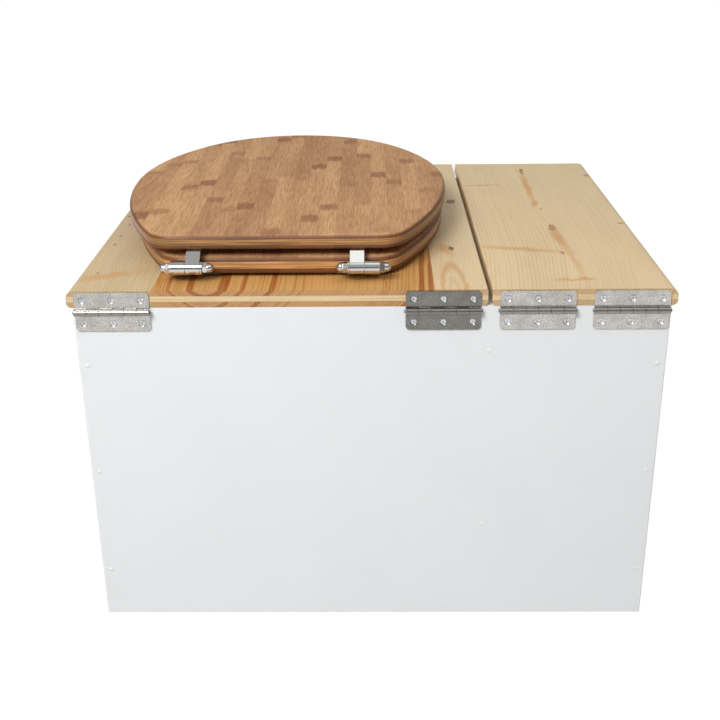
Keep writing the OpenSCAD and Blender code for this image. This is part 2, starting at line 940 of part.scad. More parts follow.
module cover_strap(i) {
    color("lightgray")
        difference() {
            at_seat_hinge(i) {
                barrel(strap_near, strap_w);
                across(strap_near, strap_w)
                    strap_section();
            }
            axle_bore(i);
            at_strap_screws()
                screw_body(small_screw_head, small_screw_shank, cover_t - screw_skin, screw_fit);
        }
}

module cover_strap_screws() {
    color("lightgray")
        at_strap_screws()
            screw_body(small_screw_head, small_screw_shank, cover_t - screw_skin);
}

module cover_bumpers() {
    color("dimgray")
        for (p = bumper_places)
            translate([seat_offset + p[0], seat_y + p[1], ring_z + ring_t])
                cylinder(d = bumper_d, h = cover_gap);
}

floor_panel();
back_panel();
front_panel();
toilet_side_panel();
litter_side_panel();
divider_panel();
wall_screws();
fixed_leaf(0);  // fixed_leaf_1
fixed_leaf(1);  // fixed_leaf_2
fixed_leaf(2);  // fixed_leaf_3
fixed_leaf(3);  // fixed_leaf_4
leaf_screws(all_hinges, -1);  // fixed_leaf_screws
hinge_pins();
bucket();
seat_board();
lid_leaf(seat_hinges[0]);  // seat_board_leaf_1
lid_leaf(seat_hinges[1]);  // seat_board_leaf_2
leaf_screws(seat_hinges, 1);  // seat_board_leaf_screws
seat_post(0);  // seat_post_1
seat_post(1);  // seat_post_2
post_bolts();
post_washers();
wing_nuts();
seat_axles();
acorn_nuts();
litter_lid();
lid_leaf(litter_hinges[0]);  // litter_lid_leaf_1
lid_leaf(litter_hinges[1]);  // litter_lid_leaf_2
leaf_screws(litter_hinges, 1);  // litter_lid_leaf_screws
seat_ring();
ring_ear(0);  // ring_ear_1
ring_ear(1);  // ring_ear_2
ring_ear_screws();
ring_bumpers();
seat_cover();
cover_strap(0);  // cover_strap_1
cover_strap(1);  // cover_strap_2
cover_strap_screws();
cover_bumpers();
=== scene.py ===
"""Gives a box toilet its finish: painted board, lacquered spruce lids, a bamboo seat, plated hinges and a bucket.

The file is laid out as a Blender add-on and is run as a script. Lengths are in metres, in the part's own frame:
the box stands on Z = 0, +Y is its rear with the butt hinges, and the seat is on its +X side. Inside the finishes
lengths are in millimetres.
"""

import json
import math
from collections import namedtuple
from functools import partialmethod

import bmesh
import bpy
import numpy as np
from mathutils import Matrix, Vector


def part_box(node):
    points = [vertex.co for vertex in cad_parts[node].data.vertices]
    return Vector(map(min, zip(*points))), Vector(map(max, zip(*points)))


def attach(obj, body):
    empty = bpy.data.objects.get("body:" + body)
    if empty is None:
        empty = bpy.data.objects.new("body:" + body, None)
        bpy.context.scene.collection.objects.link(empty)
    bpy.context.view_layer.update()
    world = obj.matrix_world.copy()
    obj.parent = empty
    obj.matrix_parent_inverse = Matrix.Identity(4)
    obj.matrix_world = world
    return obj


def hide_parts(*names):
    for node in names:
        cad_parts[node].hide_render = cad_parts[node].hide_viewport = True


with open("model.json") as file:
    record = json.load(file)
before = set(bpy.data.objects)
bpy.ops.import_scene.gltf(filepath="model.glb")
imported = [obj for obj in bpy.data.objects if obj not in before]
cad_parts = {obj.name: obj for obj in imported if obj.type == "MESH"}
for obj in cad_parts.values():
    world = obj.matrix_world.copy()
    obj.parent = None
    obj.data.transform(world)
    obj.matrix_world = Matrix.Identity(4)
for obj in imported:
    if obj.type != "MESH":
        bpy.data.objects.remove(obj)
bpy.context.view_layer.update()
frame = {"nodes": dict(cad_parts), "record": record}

bl_info = {
    "name": "Box toilet finish",
    "version": (1, 0, 0),
    "blender": (4, 5, 0),
    "location": "View3D > Sidebar > Toilet",
    "description": "Finishes and small parts of a box toilet with a litter compartment",
    "category": "Object",
}

MM = 0.001
FULL_TURN = 2 * math.pi
JOINTS = {joint["name"]: joint["pos_m"] for joint in frame["record"]["behaviour"]["joints"]}
PIN_Z = JOINTS["seat_board_hinge"][2]
SEAT_X, AXLE_Y, AXLE_Z = JOINTS["seat_ring_hinge"]
LID_LOW, LID_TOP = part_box("seat_board")[0][2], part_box("seat_board")[1][2]
REAR_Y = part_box("back_panel")[1][1]


def linear(code):
    """Turns an sRGB hex colour into the linear numbers that a shader takes."""
    parts = [int(code[i : i + 2], 16) / 255 for i in (1, 3, 5)]
    return tuple(p / 12.92 if p <= 0.04045 else ((p + 0.055) / 1.055) ** 2.4 for p in parts)


WHITE = (1, 1, 1, 1)
TAN, BROWN, RED, GREY = (linear(code) for code in ("#C99457", "#8A5A38", "#9A6A4A", "#6E5A46"))

# A glued board of a lid: the x of its right edge, the width of a ring, how strongly the rings show, whether it is
# of the striped kind, and how light it is beside the others.
Board = namedtuple("Board", "end ring strength striped gain")

# A mark in the wood: its middle, its half width and half length, the softness of its rim (or less the thickness of a
# hollow mark), its colour (None for the knots' own) and strength, its turn, and how far the rings swirl round it.
Mark = namedtuple("Mark", "x y half_x half_y soft colour strength turn swirl", defaults=(0, 0))

# The striped board's dark bands where they reach the rear edge, as (from x, to x, strength). Most are hairlines, which
# are listed by width and strength with the x where each starts.
HAIRLINES = [
    (1, 0.3, [-4.5, 2.8, 7.6, 11.3, 16.1, 25.9, 31.9]), (1, 0.35, [85.9]), (1, 0.55, [-27.8]),
    (1, 0.6, [-43.9, -39, -36, -32.5]), (1, 0.8, [-20.3, -16.6, -13.5]), (0.8, 0.5, [137.6]),
    (0.8, 0.6, [104.9, 108.4, 111.5, 118.2, 189.9, 193.5, 196.1]), (0.8, 0.7, [92.1, 206.8, 210.4, 213, 215.6]),
]
SEAT_BANDS = sorted([
    (-62.7, -57.9, 0.95), (-53.7, -48.8, 0.95), (67.7, 69.5, 0.6), (76.1, 77.7, 0.6), (95.5, 101.2, 1),
    (125.7, 130.3, 0.9), (144.1, 152.3, 1), (177, 183.6, 1), (200.6, 204.2, 0.85),
] + [(x, round(x + width, 1), strength) for width, strength, starts in HAIRLINES for x in starts])
SEAT_SPECKS = [(295.6, -6.8), (288.5, 24.3), (289, 68), (289.3, 95.5), (286.3, 185.7), (262.3, 78.9)]
SEAT_MARKS = [
    Mark(-82.9, 119.6, 6, 16, 0.9, TAN, 0.8, 10, 2.5),
    Mark(-88.9, 114.6, 2.6, 4.6, 0.2, None, 0.95),
    Mark(-84, 240, 11.5, 72, -0.32, TAN, 0.75),
    Mark(-84, 244, 5, 34, -0.5, TAN, 0.35),
    Mark(-101.1, -60.4, 5.6, 8, 0.06, GREY, 0.9, 0, 0.8),
    Mark(262, -140, 4, 8, 0.25, BROWN, 0.9, 0, 2),
    Mark(271.3, 192.3, 29.2, 7, 0.9, TAN, 0.8, 19.3, 1.5),
] + [Mark(x, y, 1.4, 3.4, 0.6, BROWN, 0.75) for x, y in SEAT_SPECKS]
LITTER_MARKS = [
    Mark(-210.9, -200.4, 2.4, 13, 0.35, BROWN, 0.95, -8, 2),
    Mark(-207.5, -128, 4.2, 64, 0.7, TAN, 0.8, -2, 2),
    Mark(-205.9, -49.6, 3, 14, 0.8, TAN, 0.9, -10),
    Mark(-211.2, 45, 3.6, 11, 0.3, RED, 0.95, -8, 1.5),
    Mark(-212.5, 78, 5.5, 32, 0.6, TAN, 0.85, 2, 2),
    Mark(-217, 140, 3.4, 62, 0.9, TAN, 0.55, 1),
    Mark(-211, -28.7, 1.6, 4, 0.5, BROWN, 0.6, 0, 0.6),
    Mark(-297, -177.5, 5, 4, 0.6, RED, 0.75, 15, 0.6),
    Mark(-294.8, 31.8, 3.5, 3.2, 0.5, RED, 0.8, 10, 0.6),
    Mark(-208.8, 130.1, 2.2, 4, 0.5, BROWN, 0.8, 0, 0.8),
    Mark(-201.5, 209.8, 12, 3, 0.9, TAN, 0.85, 0, 0.6),
    Mark(-218.2, 207.3, 9, 3, 0.9, TAN, 0.85, 0, 0.6),
    Mark(-145.2, -131.9, 19.1, 1.8, 0.8, BROWN, 0.7, 7.4),
    Mark(-164.4, 118, 39.3, 5, 0.8, TAN, 0.75, -12.9),
]

# Both lids: the x of the line over which the rings lie flat, the boards from left to right, the bands and the marks.
Lid = namedtuple("Lid", "node material heart boards bands marks")
LIDS = [
    Lid(
        "seat_board", "lacquered_spruce_striped", 165,
        [Board(-64, 4.6, 0.35, False, 0.97), Board(219, 4.4, 0.55, True, 1), Board(305, 3.4, 0.7, False, 0.85)],
        SEAT_BANDS, SEAT_MARKS,
    ),
    Lid(
        "litter_lid", "lacquered_spruce_pale", -60,
        [Board(-214, 3.4, 0.5, False, 0.98), Board(-121, 4, 0.6, False, 1)], [], LITTER_MARKS,
    ),
]


# ---- Settings ----


def tint(name, description, code):
    """A colour in the sidebar, given as an sRGB hex value."""
    return bpy.props.FloatVectorProperty(
        name=name, description=description, subtype="COLOR", size=3, min=0, max=1, default=linear(code)
    )


def number(name, description, default, **more):
    """A number in the sidebar."""
    return bpy.props.FloatProperty(name=name, description=description, default=default, **more)


def length(name, description, default, low=0.001):
    """A length in the sidebar."""
    return number(name, description, default, min=low, unit="LENGTH")


class PaintSettings(bpy.types.PropertyGroup):
    """Paint on the box."""

    colour: tint("Paint", "Colour of the satin paint on the box", "#EEEFF0")
    roughness: number("Roughness", "Roughness of the paint", 0.48, min=0.1, max=1, subtype="FACTOR")


class LidSettings(bpy.types.PropertyGroup):
    """Spruce boards of the two lids."""

    early: tint("Earlywood", "Pale part of a growth ring", "#DCC49A")
    late: tint("Latewood", "Dark part of a growth ring", "#BE915A")
    striped_early: tint("Striped earlywood", "Pale part of a ring in the striped board", "#CC9C5C")
    striped_late: tint("Striped latewood", "Dark part of a ring in the striped board", "#99531A")
    core: tint("Middle ply", "Long grain of the middle ply along its edge", "#E8D0A4")
    end: tint("End grain", "End grain of the outer plies", "#B88F60")
    knot: tint("Knot", "Dark middle of a knot", "#6E4630")
    lacquer: number("Lacquer", "Weight of the clear lacquer", 0.35, min=0, max=1, subtype="FACTOR")


class SeatSettings(bpy.types.PropertyGroup):
    """Bamboo board of the seat ring and its cover."""

    pale: tint("Pale strips", "Palest bamboo strips", "#CDA070")
    brown: tint("Brown strips", "Brownest bamboo strips", "#A2744C")
    node: tint("Nodes", "Dark bars where the culm had its nodes", "#7F4E30")
    end: tint("End grain", "End grain of the outer layers along the edge", "#70390C")
    edge: tint("Middle layer", "Long grain of the middle layer along the edge", "#AD7E4E")
    rear: length("Rear length", "Rear edge to the widest line", 0.2119, 0.15)
    nose_radius: length("Nose radius", "Radius of the cover's nose", 0.1619, 0.1)
    rear_radius: length("Rear side radius", "Radius of the sides behind the widest line", 0.3936, 0.3)
    corner_radius: length("Corner radius", "Radius of the two rear corners", 0.034, 0.01)
    round_over: length("Upper edge", "Radius along the upper edges", 0.005)
    round_under: length("Lower edge", "Radius along the lower edges", 0.0025)
    strip: length("Strip width", "Width of one bamboo strip", 0.0185, 0.005)
    spacing: length("Node spacing", "Distance between two nodes of a strip", 0.21, 0.1)


class MetalSettings(bpy.types.PropertyGroup):
    """Plated steel of the hinges and the screws."""

    leaf: tint("Hinge leaves", "Plating of the butt hinges", "#D0CDC7")
    # A darker copy of the leaf plating: painted dark reflection on the second hinge, and painted shade on the pins.
    plating_painted_dark: tint("Darkened leaves", "Plating of the dull butt hinge", "#8B8883")
    screw: tint("Screws", "Zinc plating of the screws", "#DCDEE0")
    chrome: tint("Chrome", "Chrome plating of the seat hinges", "#CDCDCB")


class BucketSettings(bpy.types.PropertyGroup):
    """Moulded bucket and the rubber bumpers."""

    plastic: tint("Bucket", "Colour of the bucket's polypropylene", "#DADCDA")
    rubber: tint("Bumpers", "Colour of the rubber bumpers", "#CFCBC0")


class StageSettings(bpy.types.PropertyGroup):
    """Camera, lamps and world."""

    lens: number("Lens", "Focal length", 49.855, min=10, unit="CAMERA")
    sky: number("Sky", "Strength of the light from above", 0.53, min=0)
    horizon: number("Horizon", "Strength of the light from the side", 0.16, min=0)
    key: number("Key lamp", "Power of the key lamp", 72, unit="POWER")
    fill: number("Fill lamp", "Power of the front lamp", 14, unit="POWER")
    top: number("Top lamp", "Power of the top lamp", 5, unit="POWER")


# ---- Nodes and meshes ----


class Wire:
    """The value at a node's output. Arithmetic with it adds math nodes, so that a finish reads like its formula."""

    def __init__(self, socket):
        self.socket = socket
        self.tree = socket.id_data

    def __getitem__(self, output):
        return Wire(self.socket.node.outputs[output])

    def __rsub__(self, other):
        return add(self.tree, "Math", {0: other, 1: self}, operation="SUBTRACT")

    def apply(self, kind, operation, *others):
        """One node of a kind over this value and up to two others."""
        return add(self.tree, kind, dict(enumerate((self, *others))), operation=operation)

    math = partialmethod(apply, "Math")
    vector = partialmethod(apply, "VectorMath")
    __add__ = partialmethod(math, "ADD")
    __sub__ = partialmethod(math, "SUBTRACT")
    __mul__ = partialmethod(math, "MULTIPLY")
    __truediv__ = partialmethod(math, "DIVIDE")
    __abs__ = partialmethod(math, "ABSOLUTE")
    times_plus = partialmethod(math, "MULTIPLY_ADD")
    floor = partialmethod(math, "FLOOR")
    fraction = partialmethod(math, "FRACT")
    larger = partialmethod(math, "MAXIMUM")

    def parts(self):
        """The x, y and z of a vector."""
        split = add(self.tree, "SeparateXYZ", {0: self})
        return split[0], split[1], split[2]

    def span(self, low, high, first=0, last=1, kind="LINEAR"):
        """Runs from first to last while this value runs from low to high, and stays there beyond."""
        values = {0: self, 1: low, 2: high, 3: first, 4: last}
        return add(self.tree, "MapRange", values, interpolation_type=kind)

    def to(self, first, last):
        """Runs from first to last while this value runs from 0 to 1."""
        return self.span(0, 1, first, last)

    def ramp(self, stops, kind="LINEAR"):
        """The colour or the grey value that a ramp of stops gives for this value."""
        made = add(self.tree, "ValToRGB", {0: self})
        ramp = made.socket.node.color_ramp
        ramp.interpolation = kind
        ramp.elements[0].position, ramp.elements[1].position = stops[0][0], stops[-1][0]
        for place, _ in stops[1:-1]:
            ramp.elements.new(place)
        for element, (_, colour) in zip(ramp.elements, stops):
            element.color = colour if hasattr(colour, "__len__") else (colour, colour, colour, 1)
        return made

    def steps(self, starts, values):
        """A ramp that holds each value from its start to the next."""
        return self.ramp(list(zip(starts, values)) + [(1, values[-1])], "CONSTANT")

    def noise(self, scale, detail=3, shift=(0, 0, 0), **more):
        """Noise over this place. The scale is features per millimetre, one number or one for each axis."""
        place = self
        if isinstance(scale, tuple):
            place = add(self.tree, "Mapping", {"Vector": self, "Location": shift, "Scale": scale})
            scale = 1
        return add(self.tree, "TexNoise", {"Vector": place, "Scale": scale, "Detail": detail, **more})

    def chance(self, *others):
        """A random number from 0 to 1 for this value, or for it together with up to two others."""
        if not others:
            return add(self.tree, "TexWhiteNoise", {"W": self}, noise_dimensions="1D")
        together = add(self.tree, "CombineXYZ", dict(enumerate((self, *others))))
        return add(self.tree, "TexWhiteNoise", {"Vector": together}, noise_dimensions="3D")


def fill(node, inputs):
    """Fills a node's sockets with plain values or with wires."""
    for socket, value in inputs.items():
        if isinstance(value, Wire):
            value.tree.links.new(value.socket, node.inputs[socket])
        else:
            node.inputs[socket].default_value = value


def add(tree, kind, inputs=None, **settings):
    """Adds one node, sets its properties, fills its sockets and gives its first output."""
    made = tree.nodes.new("ShaderNode" + kind)
    for name, value in settings.items():
        setattr(made, name, value)
    fill(made, inputs or {})
    return Wire(made.outputs[0])


def mix(factor, a, b):
    """Blends from colour a to colour b by factor."""
    return add(factor.tree, "Mix", {0: factor, 6: rgba(a), 7: rgba(b)}, data_type="RGBA")[2]


def rgba(colour, gain=1):
    """A colour with full opacity, made lighter or darker by gain. A wire stays as it is."""
    return colour if isinstance(colour, Wire) else tuple(min(1, c * gain) for c in colour[:3]) + (1,)


class Finish:
    """A material while it is written: its tree, its shader and the place on the object in millimetres."""

    def __init__(self, name, **constants):
        self.material = bpy.data.materials.new(name)
        self.material.use_nodes = True
        self.tree = self.material.node_tree
        self.shader = self.tree.nodes["Principled BSDF"]
        fill(self.shader, {socket.replace("_", " "): value for socket, value in constants.items()})
        self.at = add(self.tree, "TexCoord")
        self.place = add(self.tree, "Mapping", {"Vector": self.at["Object"], "Scale": (1 / MM,) * 3})

    def over(self, factor, colour, gain=1):
        """Lays a colour over the colour so far, as far as factor says."""
        self.colour = mix(factor, self.colour, rgba(colour, gain))

    def facing(self):
        """How far the surface faces along x, y and z, each from 0 to 1."""
        return self.at["Normal"].vector("ABSOLUTE").parts()

    def arris(self):
        """Where the surface turns between two main directions, from 0 on a flat face to 1 on a rounded edge."""
        x, y, z = self.facing()
        return x.larger(y).larger(z).span(0.97, 0.8)

    def lighten(self, factor):
        """Makes the colour so far lighter or darker by a factor."""
        self.colour = add(self.tree, "HueSaturation", {"Value": factor, "Color": self.colour})

    def done(self, roughness, height, depth):
        """Links colour, roughness and height, as a bump of that depth in millimetres, and gives the material."""
        bump = add(self.tree, "Bump", {"Height": height, "Distance": depth * MM, "Strength": 1})
        fill(self.shader, {"Base Color": self.colour, "Roughness": roughness, "Normal": bump})
        return self.material


def put(name, data):
    """Makes an object of a mesh, a lamp or a camera."""
    made = bpy.data.objects.new(name, data)
    bpy.context.collection.objects.link(made)
    return made


def dress(nodes, material):
    """Gives CAD nodes a material."""
    for name in nodes:
        slots = frame["nodes"][name].data.materials
        slots.clear()
        slots.append(material)


def middle(node):
    """The middle of a CAD node's box."""
    return np.mean(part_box(node), axis=0)


def cad_points(node):
    """All vertices of a CAD node, as rows of x, y and z."""
    points = np.empty(len(frame["nodes"][node].data.vertices) * 3)
    frame["nodes"][node].data.vertices.foreach_get("co", points)
    return points.reshape(-1, 3)


def new_piece(name, shape, material, body, replaced):
    """Makes a piece from a shape's points and quads, closes its seams and poles, and puts it on its body."""
    mesh = bpy.data.meshes.new(name)
    mesh.from_pydata(shape[0].tolist(), [], shape[1].tolist())
    work = bmesh.new()
    work.from_mesh(mesh)
    bmesh.ops.remove_doubles(work, verts=work.verts, dist=1e-6)
    bmesh.ops.dissolve_degenerate(work, edges=work.edges, dist=1e-7)
    bmesh.ops.recalc_face_normals(work, faces=work.faces)
    work.to_mesh(mesh)
    work.free()
    mesh.shade_smooth()
    mesh.set_sharp_from_angle(angle=math.radians(38))
    mesh.materials.append(material)
    piece = put(name, mesh)
    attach(piece, body)
    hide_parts(replaced)


def angles(columns):
    """Even angles all round an axis, as one row."""
    return np.linspace(0, FULL_TURN, columns, endpoint=False)[None, :]


def turned(radius, height, turn):
    """Points round the z axis at their radius, height and angle."""
    r, z, a = np.broadcast_arrays(radius, height, turn)
    return np.stack([r * np.cos(a), r * np.sin(a), z], -1)


def closed_grid(*rows):
    """A shape, which is points and quads, from rows of points that each close into a ring."""
    grid = np.concatenate(rows)
    columns = grid.shape[1]
    row = np.arange(len(grid) - 1)[:, None] * columns
    here = np.arange(columns)[None, :]
    following = (here + 1) % columns
    corners = [row + here, row + following, row + columns + following, row + columns + here]
    return grid.reshape(-1, 3), np.stack(corners, -1).reshape(-1, 4)


def many(shape, places, turns, axis):
    """Repeats a shape: each copy is turned about its own axis, laid along axis X, Y or Z and moved.

    A copy's point is place + x * side + y * up + z * axis, after x and y are turned by the copy's own angle. The
    fourth number of a place is 1, or -1 for a copy that points the other way.
    """
    grid, faces = shape
    basis = np.roll(np.eye(3), {"X": 1, "Y": 2, "Z": 0}[axis], axis=1)
    points, quads = [], []
    for index, (place, turn) in enumerate(zip(places, turns)):
        c, s = math.cos(turn), math.sin(turn)
        x = grid[:, 0] * c - grid[:, 1] * s
        y = grid[:, 0] * s + grid[:, 1] * c
        points.append(np.stack([x, y, grid[:, 2] * place[3]], 1) @ basis + place[:3])
        quads.append(faces + index * len(grid))
    return np.concatenate(points), np.concatenate(quads)


def under(limit, value, soft):
    """1 where a value is under a limit and 0 where it is over it, with the cubic 3 v^2 - 2 v^3 between."""
    v = np.clip((limit - value) / soft + 0.5, 0, 1)
    return v * v * (3 - 2 * v)


def thread_wave(z, turn, pitch):
    """Triangle wave from 0 to 1 that climbs by one pitch in a turn."""
    return abs(((z / pitch - turn / FULL_TURN) % 1) - 0.5) * 2


# ---- Shapes ----


def wood_screw(head_r, shank_r, length, columns=64):
    """Countersunk screw with a cross recess, its rim on z = 0 and its point at -length.

    Over the head the height is a low dome less the recess. The recess is deepest in the middle and gets shallower
    outwards; it is open where the smaller of |x| and |y| is under half an arm's width and the larger is under
    half the recess's length. Below the rim the radius runs down a cone, a shank with a spiral thread, and a point.
    """
    pitch, tip, groove = 1.6 * MM, 3 * MM, 0.42 * MM
    turn = angles(columns)
    r = np.r_[np.linspace(0, 0.72, 15), 0.82, 0.92, 0.98, 1][:, None] * head_r
    x, y = abs(r * np.cos(turn)), abs(r * np.sin(turn))
    arm = under(0.145 * head_r, np.minimum(x, y), 0.05 * head_r)
    reach = under(0.6 * head_r, np.maximum(x, y), 0.1 * head_r)
    bowl = under(0.27 * head_r, r, 0.1 * head_r)
    cross = arm * reach * (1 - 0.75 * np.maximum(x, y) / head_r)
    depth = np.maximum(cross, bowl * 0.85) * 0.42 * head_r
    top = turned(r, 0.11 * head_r * (1 - (r / head_r) ** 2) - depth, turn)
    cone = head_r - shank_r
    z = np.r_[-0.15 * cone, -cone, np.linspace(-cone - 0.4 * MM, tip - length, 60), -length][:, None]
    base = np.interp(-z, [0.15 * cone, cone, length - tip, length], [head_r - 0.02 * MM, shank_r, shank_r, 0])
    threaded = (z < -cone - 0.3 * MM) & (z > -length)
    base = base - threaded * thread_wave(z, turn, pitch) * np.minimum(groove, base * 0.4)
    return closed_grid(top, turned(base, z, turn))


def socket_bolt(head_r, bolt_r, length, columns=48):
    """Countersunk bolt with a hexagon socket and a spiral thread, its rim on z = 0 and its end at -length.

    The socket is where the distance from the axis to the nearest of six planes is under half the key's width.
    The thread's radius is the bolt's radius less a triangle wave of height over pitch plus turn.
    """
    pitch, groove, half_key, deep, threaded = 0.8 * MM, 0.45 * MM, 1.75 * MM, 1.6 * MM, 18 * MM
    turn = angles(columns)
    key = half_key / np.cos((turn % (math.pi / 3)) - math.pi / 6)
    floor = turned(np.array([0, 0.5, 0.97])[:, None] * key, -deep, turn)
    wall = turned(key, 0, turn)
    rim_r = key + (head_r - key) * np.array([0.4, 0.95, 1])[:, None]
    rim = turned(rim_r, np.array([[0], [0], [-0.15 * MM]]), turn)
    cone = head_r - bolt_r
    z = np.r_[-cone, np.linspace(threaded - length, 0.5 * MM - length, 110), -length, -length][:, None]
    base = bolt_r - thread_wave(z, turn, pitch) * groove * ((z < -cone) & (z > -length))
    base[-2] = bolt_r - 0.6 * MM
    base[-1] = 0
    return closed_grid(floor, wall, rim, turned(base, z, turn))


def acorn_nut(flats, hexagon, length, columns=72):
    """Cap nut along z from 0 to length: a hexagon with turned-off corners, a collar and a dome.

    The hexagon's radius is half the flats over the cosine of the angle to the nearest flat, and it is never more
    than a 30 degree cone at either end. The dome is a half circle of the collar's radius.
    """
    turn = angles(columns)
    half = flats / 2
    corner = half / np.cos((turn % (math.pi / 3)) - math.pi / 6)
    chamfered = 0.7 * MM
    z = np.r_[np.linspace(0, chamfered, 6), np.linspace(hexagon - chamfered, hexagon, 6)][:, None]
    hexed = np.minimum(corner, half * 1.01 + np.minimum(z, hexagon - z) * math.tan(math.radians(60)))
    collar = half - 0.35 * MM
    angle = np.linspace(0, math.pi / 2, 12)[:, None]
    dome = turned(collar * np.cos(angle), length - collar + collar * np.sin(angle), turn)
    return closed_grid(turned(0, 0, turn), turned(hexed, z, turn), turned(collar, hexagon, turn), dome)


def bumper(radius, height, columns=48):
    """Moulded bumper from z = 0 to height: flat ends with a shallow dimple, and sides that swell in the middle.

    The radius is the full radius less a soft corner at each end, and the side bulges as half a sine wave.
    """
    soft, swell, dimple = min(1.2 * MM, height * 0.3), 0.3 * MM, 0.5 * MM
    angle = np.linspace(0, math.pi / 2, 6)
    side = np.linspace(0, 1, 9)[1:-1]
    low_r = radius - swell - soft + soft * np.sin(angle)
    low_z = soft - soft * np.cos(angle)
    side_z = soft + side * (height - 2 * soft)
    side_r = radius - swell + swell * np.sin(math.pi * side)
    end_r = np.array([0, 0.28, 0.36]) * radius
    r = np.r_[end_r, low_r, side_r, low_r[::-1], end_r[::-1]]
    z = np.r_[dimple, dimple, 0, low_z, side_z, height - low_z[::-1], height, height - dimple, height - dimple]
    return closed_grid(turned(r[:, None], z[:, None], angles(columns)))


def arcs_to_outline(arcs, flat, centre, columns=360):
    """Closed outline of arcs, mirrored in x = 0, as points and outward normals at even angles round a centre.

    Each arc is given by its own centre, its radius and its two normal angles in degrees: a point is the arc's centre
    plus radius times (cos a, sin a). A straight edge follows the last arc when flat is true.
    """
    points, normals = [], []
    for x, y, radius, first, last in arcs:
        a = np.radians(np.linspace(first, last, 90))
        normals.append(np.stack([np.cos(a), np.sin(a)], 1))
        points.append([x, y] + radius * normals[-1])
    if flat:
        end = points[-1][-1]
        points.append(np.stack([np.linspace(end[0], 0, 60)[1:], np.full(59, end[1])], 1))
        normals.append(np.tile([0, 1], (59, 1)))
    points, normals = np.concatenate(points), np.concatenate(normals)
    points, normals = (np.concatenate([half, half[::-1] * [-1, 1]]) for half in (points, normals))
    angle = np.unwrap(np.arctan2(points[:, 1] - centre[1], points[:, 0] - centre[0]))
    even = -math.pi / 2 + np.arange(columns) * FULL_TURN / columns
    pick = [np.interp(even, angle, values) for values in (*points.T, *normals.T)]
    return np.stack(pick[:2], 1), np.stack(pick[2:], 1)


def side_arc(half, ahead, end_r):
    """Radius of a side that meets an end arc smoothly, and the angle where they meet.

    The side's widest point is half from the middle line, and the end's centre lies ahead of it on that line: the
    radius is (half^2 + ahead^2 - end_r^2) / (2 (half - end_r)).
    """
    radius = (half**2 + ahead**2 - end_r**2) / (2 * (half - end_r))
    return radius, math.degrees(math.atan2(ahead, radius - half))


def seat_outline(half, nose, rear, nose_r, rear_r, corner_r, inset, centre):
    """Outline of a seat plate about its widest line, of nose, front sides, rear sides and corners that meet smoothly.

    It is smaller all along its nose and sides by inset.
    """
    front_r, front = side_arc(half, nose - nose_r, nose_r)
    corner_y = rear - corner_r
    corner_x = math.sqrt((rear_r - inset - corner_r) ** 2 - corner_y**2) - (rear_r - half)
    back = math.degrees(math.atan2(corner_y, corner_x + rear_r - half))
    arcs = [
        (0, nose_r - nose, nose_r - inset, -90, -front),
        (half - front_r, 0, front_r - inset, -front, 0),
        (half - rear_r, 0, rear_r - inset, 0, back),
        (corner_x, corner_y, corner_r, back, 90),
    ]
    return arcs_to_outline(arcs, True, centre)


def oval_outline(end_r, half, half_length):
    """Outline of an oval about its middle, of two ends and two sides that meet smoothly."""
    ahead = half_length - end_r
    side_r, turn = side_arc(half, ahead, end_r)
    arcs = [(0, -ahead, end_r, -90, -turn), (half - side_r, 0, side_r, -turn, turn), (0, ahead, end_r, turn, 90)]
    return arcs_to_outline(arcs, False, (0, 0))


def rounded_rows(outline, node, seat, sign):
    """Rows down a plate's rim from its upper to its lower face, rounded over above and under below.

    A row is the outline moved inwards by r - r sin a at height r cos a from the end of the rounding. The first and
    the last row lie a little inside the roundings, so that the faces stay flat. sign is -1 round an opening.
    """
    low, high = (corner[2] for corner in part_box(node))
    margin, over, under = 0.6 * MM, seat.round_over, seat.round_under
    turn = np.linspace(0, math.pi / 2, 9)
    sine, cosine = np.sin(turn), np.cos(turn)
    inward = np.r_[over + margin, over - over * sine, (under - under * sine)[::-1], under + margin]
    height = np.r_[high, high - over + over * cosine, (low + under - under * cosine)[::-1], low]
    flat = outline[0][None] - sign * inward[:, None, None] * outline[1][None]
    return np.concatenate([flat, np.broadcast_to(height[:, None, None], flat.shape[:2] + (1,))], -1)


# ---- Finishes ----


def acrylic_paint(paint):
    """Satin acrylic paint, rolled on board."""
    # Rolled paint dries with an orange peel about 2 mm wide, and lies thinner over the arrises and the joints.
    board = 18
    new = Finish("satin_acrylic_paint", IOR=1.47)
    place, base = new.place, paint.colour
    peel = place.noise(0.5)
    new.colour = mix(place.noise(0.009, 2), rgba(base, 0.965), rgba(base, 1.015))
    from_joint = place.vector("ABSOLUTE").parts()[1] - (REAR_Y / MM - board)
    joint = abs(from_joint).span(0.15, 0.55, 1, 0) * new.facing()[0]
    new.over(joint * 0.35, base, 0.55)
    worn = new.arris() * place.noise(0.12, 4)
    new.over(worn.span(0.4, 0.8, 0, 0.25), base, 0.82)
    rough = peel.span(0.3, 0.7, paint.roughness - 0.06, paint.roughness + 0.06)
    return new.done(rough, peel + joint * -3, 0.04)


def dark_bands(across, bands):
    """Cover of dark bands, each given as where it starts and ends in millimetres and how strong it is."""
    ramp_holds, margin = 7, 3
    cover = None
    for start in range(0, len(bands), ramp_holds):
        part = bands[start : start + ramp_holds]
        low, high = part[0][0] - margin, part[-1][1] + margin
        stops = []
        for first, last, strength in part:
            soft = min(1.2, 0.35 + 0.15 * (last - first))
            stops += [(first - soft, 0), (first + 0.3 * soft, strength)]
            stops += [(last - 0.1 * soft, strength), (last + 0.6 * soft, 0)]
        stops = [(0, 0)] + [((place - low) / (high - low), value) for place, value in stops] + [(1, 0)]
        ramp = across.span(low, high).ramp(stops)
        cover = ramp if cover is None else cover.larger(ramp)
    return cover


